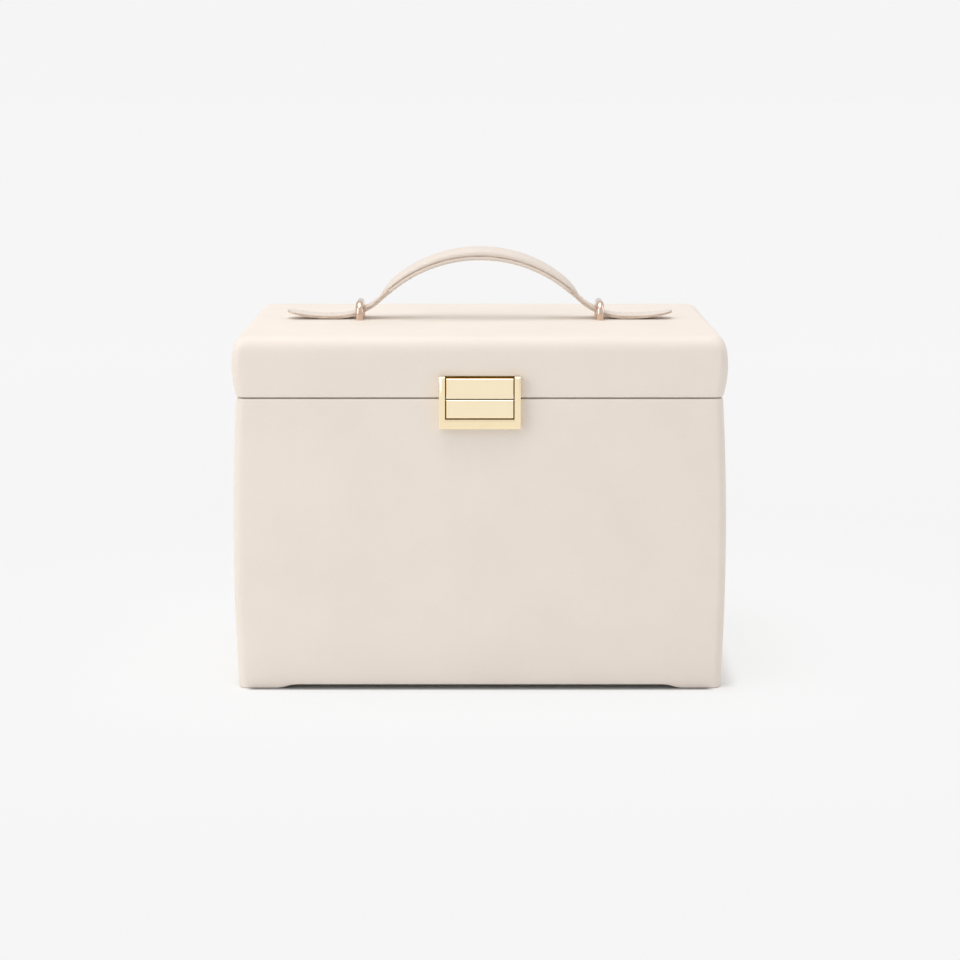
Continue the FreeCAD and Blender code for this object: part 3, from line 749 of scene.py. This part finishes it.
def make_grip():
    half_grip = 53.5
    end = math.asin(half_grip / handle_radius)
    stations = 73
    def section(k):
        along = 2 * k / (stations - 1) - 1
        along = math.sin(along * math.pi / 2) * 0.5 + along * 0.5
        fullness = math.sqrt(max(1 - along ** 2, 0))
        tongue = min(1.0, (1 - abs(along)) / 0.2)
        tongue = math.sqrt(max(1 - (1 - tongue) ** 2.2, 0.0))
        half = (8.7 + 0.4 * fullness) * (0.32 + 0.68 * tongue)
        dome = (0.4 + 4.05 * fullness) * (0.2 + 0.8 * tongue)
        under = 1.25 + 0.1 * tongue
        outline = [
            (0, -under), (half * 0.5, -under - 0.03), (half - 0.5, -under), (half, -under + 0.35),
            (half + 0.05, -0.2), (half, 0.4), (half - 0.6, 0.58), (half - 0.7, 0.9),
        ]
        outline += [((half - 0.25) * cosine ** 0.92, 1.15 + dome * sine ** 0.85) for cosine, sine in turns(7)]
        centre, outward = on_arc(end * along)
        return [centre + Vector((0, v, 0)) + outward * w for v, w in mirrored(outline)]
    sections = [section(k) for k in range(stations)]
    # The crease between the edge band and the dome takes the darker edge finish: edge paint, and partly painted
    # shade in the crease
    edge = painted_between(5, 8, len(sections[0]))
    finishes = [strap_leather, cut_edge]
    made = piece("grip_leather", *loft(sections), finishes, "handle", "leatherette", "handle_grip", edge)
    sink(made)
    def inward(point):
        return -Vector((point.x, 0, point.z - arc_z)).normalized()
    rows = []
    for side in (-1, 1):
        path = [on_arc(end * 0.93 * (2 * k / 80 - 1), -1.26, side * 7.0)[0] for k in range(81)]
        rows.append(stitches(path, inward))
    sink(piece("grip_stitching", *together(*rows), cream_thread, "handle", "leatherette"))


# Inside the lid and the tray
def make_lid_lining():
    low, high = (-118.4, -81.3, 177.7), (118.4, 81.6, 179.45)
    form = pad(low, high, 2, 2.0, 0.7, 0.1, 0.0, 0.0, 4.0)
    made = piece("lid_lining_velvet", *form, pile, "lid", "velvet", "lid_lining")
    across, along = 48, 36
    wall = 118.48
    def level(inset, z):
        points = ring((inset - wall, wall - inset), (-81.35 + inset, 81.65 - inset), [1.2] * 4, across, along)
        return [Vector((x, y, z)) for x, y in points]
    loop = [level(0.0, 156.6), level(0.0, 178.0), level(0.45, 178.0), level(0.55, 170.0), level(0.5, 158.0)]
    loop += [level(0.4, 156.7), level(0.2, 156.45)]
    sections = [[each[k] for each in loop] for k in range(len(loop[0]))]
    points, faces = loft(sections + sections[:1], closed_ends=False)
    piece("lid_wall_velvet", points, faces, pile, "lid", "velvet")


def velvet_tray(name, low, high, wall, floor, body, replaces, lip=1.0, puff=0.5):
    """A board tray covered all over in velvet, its floor padded."""
    across = max(30, round((high[0] - low[0]) / 5))
    along = max(24, round((high[1] - low[1]) / 5))
    def level(inset, z, radius):
        x = (low[0] + inset, high[0] - inset)
        y = (low[1] + inset, high[1] - inset)
        return [Vector((px, py, z)) for px, py in ring(x, y, [max(radius, 0.05)] * 4, across, along)]
    rings = [level(0.5, low[2], 0.6), level(0.15, low[2] + 0.15, 0.8), level(0.0, low[2] + 0.5, 1.0)]
    rings += [level(0.0, low[2] + (high[2] - lip - low[2]) * step / 5, 1.0) for step in range(1, 6)]
    half = wall / 2
    for cosine, sine in turns(8, 0, 180):
        rings.append(level(half - half * cosine, high[2] - lip + lip * sine, 1.0 + (1 - cosine) * 0.8))
    for step in range(1, 5):
        rings.append(level(wall, high[2] - lip - (high[2] - lip - floor - 1.6) * step / 5, 2.6))
    for cosine, sine in turns(5):
        rings.append(level(wall + 1.6 * (1 - cosine), floor + 1.6 * (1 - sine), 2.6))
    points, faces = closed_form(rings, across, along, (0, 0, 0), (0, 0, puff))
    return piece(name, points, faces, pile, body, "velvet", replaces)


def make_tray():
    low, high = mm_box("tray_liner")
    velvet_tray("tray_velvet", low, high, 2.0, 117.3, "case", "tray_liner", 0.95, 0.3)
    for name in ("long", "cross"):
        low, high = mm_box("tray_divider_" + name)
        thin = 1 if name == "long" else 0
        form = pad(low, high, thin, 1.0, 1.3, 1.3, cell=4)
        piece("tray_divider_velvet_" + name, *form, pile, "case", "velvet", "tray_divider_" + name)
    for name, x in (("left", (-114.9, 28.2)), ("right", (31.8, 114.9))):
        low, high = (x[0], -9.3, 117.55), (x[1], 78.1, 119.4)
        form = pad(low, high, 2, 4.0, 0.3, 1.2, 1.1, 0.0, 4.0)
        made = piece("tray_cushion_" + name, *form, pile, "case", "velvet")


def make_ring_rolls():
    for number in range(1, 5):
        low, high = mm_box(f"ring_roll_{number}")
        y = (low.y + high.y) / 2
        floor, top = 117.5, 134.5
        half_length = 115.2
        stations = []
        for k in range(121):
            t = 2 * k / 120 - 1
            stations.append(math.copysign(1 - (1 - abs(t)) ** 1.25, t) * half_length)
        def section(x):
            end = half_length - abs(x)
            gather = 1 - (1 - smooth(end / 5.0)) * 0.42
            crease = 0.12 * noise.noise(Vector((x * 0.35, y, 2.0))) * (1 - smooth(end / 14))
            puff = 0.12 * noise.noise(Vector((x * 0.045, y * 0.3, number)))
            half = (7.22 + puff * 0.3) * (0.9 + 0.1 * gather)
            rise = (top - floor) * (gather + crease)
            waist = floor + rise * 0.56
            outline = []
            for cosine, sine in turns(16, -14, 194):
                v = half * math.copysign(abs(cosine) ** 0.8, cosine)
                outline.append((v, waist + sine * (rise * 0.44 if sine > 0 else 6)))
            foot = [(half - 0.35, floor + rise * 0.3), (half - 0.2, floor + 1.2), (half - 0.9, floor + 0.05)]
            outline += [(-v, z) for v, z in foot] + foot[::-1]
            return [Vector((x, y + v, z)) for v, z in outline]
        points, faces = loft([section(x) for x in stations])
        made = piece(f"ring_roll_velvet_{number}", points, faces, pile, "case", "velvet", f"ring_roll_{number}")


# Drawers and bay
def make_drawer(level):
    body = "drawer_" + level
    low, high = mm_box(body + "_front")
    border = 4.2                # from the front's edge to its sewn channel
    def shape(point):
        return quilted_edge(point, low, high, 0, 2, border, 0.55, 1, low[1])
    form = pad(low, high, 1, 1.6, 1.3, 0.4, 0.0, 0.35, 1.05, shape)
    made = piece(body + "_front_leather", *form, cream, body, "leatherette", body + "_front")
    x0, x1, z0, z1 = low[0] + border, high[0] - border, low[2] + border, high[2] - border
    corners = [Vector((x, low[1] + 0.5, z)) for x, z in ((x0, z0), (x1, z0), (x1, z1), (x0, z1))]
    sides = [(corners[i], corners[(i + 1) % 4]) for i in range(4)]
    rows = [stitches(side, (0, -1, 0), 2.4, 3.1, 0.36) for side in sides]
    piece(body + "_stitching", *together(*rows), cream_thread, body, "leatherette")
    low, high = mm_box(body + "_tray")
    velvet_tray(body + "_velvet", low, high, 4.0, low[2] + 3.0, body, body + "_tray", 1.0, 0.6)
    low, high = mm_box(body + "_divider")
    form = pad(low, high, 0, 1.0, 1.3, 1.3, cell=4)
    piece(body + "_divider_velvet", *form, pile, body, "velvet", body + "_divider")


def make_bay():
    low, high = mm_box("bay_lining")
    form = pad(low, high, 2, 0.6, 0.2, 0.4, 0.0, 0.0, 5.0)
    piece("bay_floor_velvet", *form, pile, "case", "velvet", "bay_lining")
    spans = ((-117.4, -40.1), (-35.9, 35.9), (40.1, 117.4))
    for number, (x0, x1) in enumerate(spans, 1):
        cushion = pad((x0 + 0.6, -77.4, 10.75), (x1 - 0.6, 79.6, 11.6), 2, 3.0, 0.2, 0.6, 0.35, 0.0, 5.0)
        made = piece(f"bay_cushion_{number}", *cushion, pile, "case", "velvet")
        rear = pad((x0 + 0.5, 79.95, 11.2), (x1 - 0.5, 80.6, 47.8), 1, 1.0, 0.4, 0.1, cell=5)
        piece(f"bay_back_velvet_{number}", *rear, pile, "case", "velvet")
    for side, name in ((-1, "left"), (1, "right")):
        x = sorted((side * (half_inside - hair), side * (half_inside - 0.65)))
        wall = pad((x[0], -78.6, 11.0), (x[1], 80.3, 47.8), 0, 1.0, 0.25, 0.25, cell=6)
        piece("bay_wall_velvet_" + name, *wall, pile, "case", "velvet")


def make_front_edges():
    """Leather over the front edges of the boards that show when the front is down."""
    bands = {
        "base_edge": (2.3, 9.7), "lower_shelf_edge": (48.1, 50.9), "upper_shelf_edge": (80.1, 82.9),
        "deck_edge": (112.1, 115.6), "tray_front": (115.9, 154.1),
    }
    half = half_inside - 0.1
    for name, z in bands.items():
        low, high = (-half, -79.65, z[0]), (half, -79.08, z[1])
        def sewn(point):
            return quilted_edge(point, low, high, 0, 2, 4.0, 0.28, 1, low[1])
        broad = name == "tray_front"
        form = pad(low, high, 1, 0.5, 0.28, 0.1, cell=2.2 if broad else 6, shape=sewn if broad else None)
        piece(name + "_leather", *form, cream, "case", "leatherette")


def make_hinge_strip():
    low, high = mm_box("flap_hinge_strip")
    form = pad(low, high, 2, 2.0, 0.3, 0.3, cell=5)
    piece("front_hinge_leather", *form, strap_leather, "case", "leatherette", "flap_hinge_strip")
    rows = []
    for y in (low.y + 2.2, high.y - 2.2):
        path = [Vector((low.x + 3, y, low.z + 0.06)), Vector((high.x - 3, y, low.z + 0.06))]
        rows.append(stitches(path, (0, 0, -1), 2.8, 3.6, 0.36))
    piece("front_hinge_stitching", *together(*rows), cream_thread, "case", "leatherette")


# Boards, metal and glass
def dress(names, finish, round_by=0.0, segments=2):
    """Gives carried-over pieces their finish, and takes the sharpness off their edges."""
    for name in names:
        node = nodes[name]
        for place in node.material_slots:
            place.material = finish
        if round_by:
            weld = node.modifiers.new("one_skin", "WELD")
            weld.merge_threshold = 0.000002
            bevel = node.modifiers.new("soft_edges", "BEVEL")
            bevel.width = round_by * 0.001
            bevel.segments = segments
            bevel.limit_method = "ANGLE"
            bevel.angle_limit = math.radians(28)
            bevel.harden_normals = True


def dress_nodes():
    dress(["base_board", "side_board_left", "side_board_right", "back_board", "shelf_lower", "shelf_upper",
           "tray_deck", "tray_front_board", "lid_frame", "lid_top_board", "flap_board", "bay_divider_left",
           "bay_divider_right"], cloth, 0.3)
    dress(["clasp_frame"], gold, 0.12, 3)
    dress(["hasp_plate", "clasp_button"], satin_gold, 0.1, 3)
    dress(["handle_loop_left", "handle_loop_right"], rose_gold)
    dress(["mirror_frame"], gold, 0.35, 3)
    dress(["drawer_upper_knob", "drawer_lower_knob"], gold, 0.15)
    dress(["case_hinge_leaf_left", "case_hinge_leaf_right", "lid_hinge_leaf_left", "lid_hinge_leaf_right"],
          satin_gold)
    dress(["case_hinge_screws", "lid_hinge_screws"], gold, 0.2)
    dress(["hinge_pin_left", "hinge_pin_right"], gold, 0.1)
    dress(["case_magnets", "flap_plates"], steel, 0.1)
    dress(["mirror"], looking_glass, 0.3)
    dress(["foot_front_left", "foot_front_right", "foot_rear_left", "foot_rear_right"], strap_leather, 0.3)


def make_clasp_gap_shade():
    """Dark brown sheets inside the clasp's frame and behind its arms: painted shade that shows in its gaps."""
    half, low_z, high_z = 18.0, 144.9, 154.3
    rim_y, floor_y = -94.0, -90.6
    def skin(low, high, axis):
        return pad(low, high, axis, 0.02, 0.01, 0.01, cell=3)
    # Sheets of painted shade lining the frame's recess
    floor = skin((-half, -90.585, low_z), (half, -90.556, high_z), 1)
    sill = skin((-half, rim_y, 144.81), (half, floor_y, 144.86), 2)
    sides = [skin((x, rim_y, low_z), (x + 0.05, floor_y, 166.5), 0) for x in (-half - 0.04, half - 0.01)]
    piece("clasp_recess_front", *together(floor, sill, *sides), dark_lacquer, "flap", "gold")
    # A sheet of painted shade behind the clasp's arms, above the hasp
    over = pad((-20.6, -90.05, 155.8), (20.6, -89.8, 167.0), 1, 0.3, 0.05, 0.05, cell=3)
    piece("clasp_gap_shade_lid", *over, dark_lacquer, "lid", "gold")


def make_button_spring():
    """The bowed leaf behind the button, which the button presses flat."""
    half_length, half_thick, bow = 12.0, 0.17, 1.56
    rear_y, middle_z = -90.57, 150.175
    def section(x):
        y = rear_y - half_thick - 0.005 - bow * (1 - (x / half_length) ** 2)
        half = 1.99 - 0.6 * smooth((abs(x) - 10.5) / 1.5)
        right = [(half - 0.05, -half_thick), (half, -0.1), (half, 0.1), (half - 0.05, half_thick)]
        outline = right + [(-z, thick) for z, thick in reversed(right)]
        return [Vector((x, y + thick, middle_z + z)) for z, thick in outline]
    form = loft([section(x * 0.5) for x in range(-24, 25)])
    made = piece("button_spring", *form, steel, "flap", "steel", "clasp_spring")
    even_normals(made)
    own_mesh(made)


# Camera, light and floor
def make_camera():
    distance, height, tilt = 1.3, 0.3405, 9.96      # in metres before the front, metres and degrees
    data = bpy.data.cameras.new("camera")
    data.lens = 94.65
    camera = bpy.data.objects.new("camera", data)
    camera.location = (0.0001, front * 0.001 - distance, height)
    camera.rotation_euler = (math.radians(90 - tilt), 0, 0)
    bpy.context.scene.collection.objects.link(camera)
    bpy.context.scene.camera = camera


def make_lamp(name, place, size, power):
    """A flat lamp that points at the box. Its place and size are in metres."""
    data = bpy.data.lights.new(name, "AREA")
    data.shape = "RECTANGLE"
    data.size, data.size_y = size
    data.energy = power
    lamp = bpy.data.objects.new(name, data)
    lamp.location = place
    lamp.rotation_euler = (Vector((0, 0, 0.1)) - Vector(place)).to_track_quat("-Z", "Y").to_euler()
    bpy.context.scene.collection.objects.link(lamp)


def make_lights():
    make_lamp("top_lamp", (-0.25, -0.12, 1.9), (1.6, 1.6), 18.5)
    make_lamp("left_lamp", (-1.5, -1.1, 0.9), (1.2, 1.4), 10.5)
    make_lamp("right_lamp", (1.8, 0.3, 0.9), (1.0, 1.2), 4.0)
    world = bpy.data.worlds.new("studio")
    bpy.context.scene.world = world
    studio = Nodes(world)
    seen, shiny = studio.rays()
    backdrop = studio.tree.nodes["Background"]
    studio.feed(backdrop.inputs["Color"], (1, 1, 1, 1))
    studio.feed(backdrop.inputs["Strength"], 0.56 + seen * 0.353 + shiny * 0.25)


def make_floor():
    """White paper, seen at a nearly even tone with painted light falloff, apart from the real shade close to
    the box and a painted contact shadow along its front.
    """
    span = 12.0                             # half the sheet's width, in metres
    corners = [(-span, -span, 0), (span, -span, 0), (span, span, 0), (-span, span, 0)]
    mesh = bpy.data.meshes.new("floor")
    mesh.from_pydata(corners, [], [(0, 1, 2, 3)])
    floor = bpy.data.objects.new("floor", mesh)
    bpy.context.scene.collection.objects.link(floor)
    paper = Finish("white_paper", roughness=0.9)
    paper.raise_by(paper.noise(paper.place, 900, 2), 0.01)
    foot_x, foot_y = 0.128, 0.09            # half the box's footprint, in metres
    x, y, _ = paper.axes(paper.place)
    past_side = x.absolute() - foot_x
    beside = past_side.at_least(0.0)
    before = (y.absolute() - foot_y).at_least(0.0)
    away = (beside * beside + before * before) ** 0.5
    # A dark strip painted on the paper just in front of the box's front edge: a painted contact shadow
    painted_contact_shadow = 1 - before.between(0.001, 0.0045)
    painted_contact_shadow *= 1 - past_side.between(-0.009, -0.003)
    painted_contact_shadow *= 1 - y.between(-foot_y, -0.08)
    sheet = paper.mix(paper.noise(paper.place, 6, 2), tone("F6F6F6"), tone("F4F4F4"))
    paper.set("Base Color", paper.mix(0.75 * painted_contact_shadow, sheet, tone("3A3836")))
    # The glow's tones over the first three metres from the box: painted light falloff, brightest at the box and
    # dimmest about a third of a metre away
    painted_glow_falloff = [(0.0, tone("F8F8F8")), (0.11, tone("F5F5F5")), (0.4, tone("F7F7F7")), (1.0, tone("F7F7F7"))]
    backdrop = paper.node("ValToRGB", {"Fac": away / 3.0}, stops=painted_glow_falloff)
    glow = paper.node("Emission", {"Color": backdrop})
    lit = Value(paper, paper.shader.outputs[0])
    # Less glow over the painted contact shadow, so that it shows
    open_floor = (0.8 * away.between(0.001, 0.013) + 0.17 * away.between(0.01, 0.1)) * (1 - 0.9 * painted_contact_shadow)
    seen, shiny = paper.rays()
    cover = paper.node("MixShader", {0: (seen + shiny) * open_floor, 1: lit, 2: glow})
    paper.feed(paper.tree.nodes["Material Output"].inputs["Surface"], cover)
    mesh.materials.append(paper.owner)


make_camera()
make_lights()
make_floor()
make_lid_leather()
make_case_leather()
make_front_leather()
make_front_lining()
make_strap()
make_grip()
make_lid_lining()
make_tray()
make_ring_rolls()
make_drawer("upper")
make_drawer("lower")
make_bay()
make_front_edges()
make_hinge_strip()
make_clasp_gap_shade()
make_button_spring()
dress_nodes()
bpy.context.scene.view_settings.view_transform = "Standard"
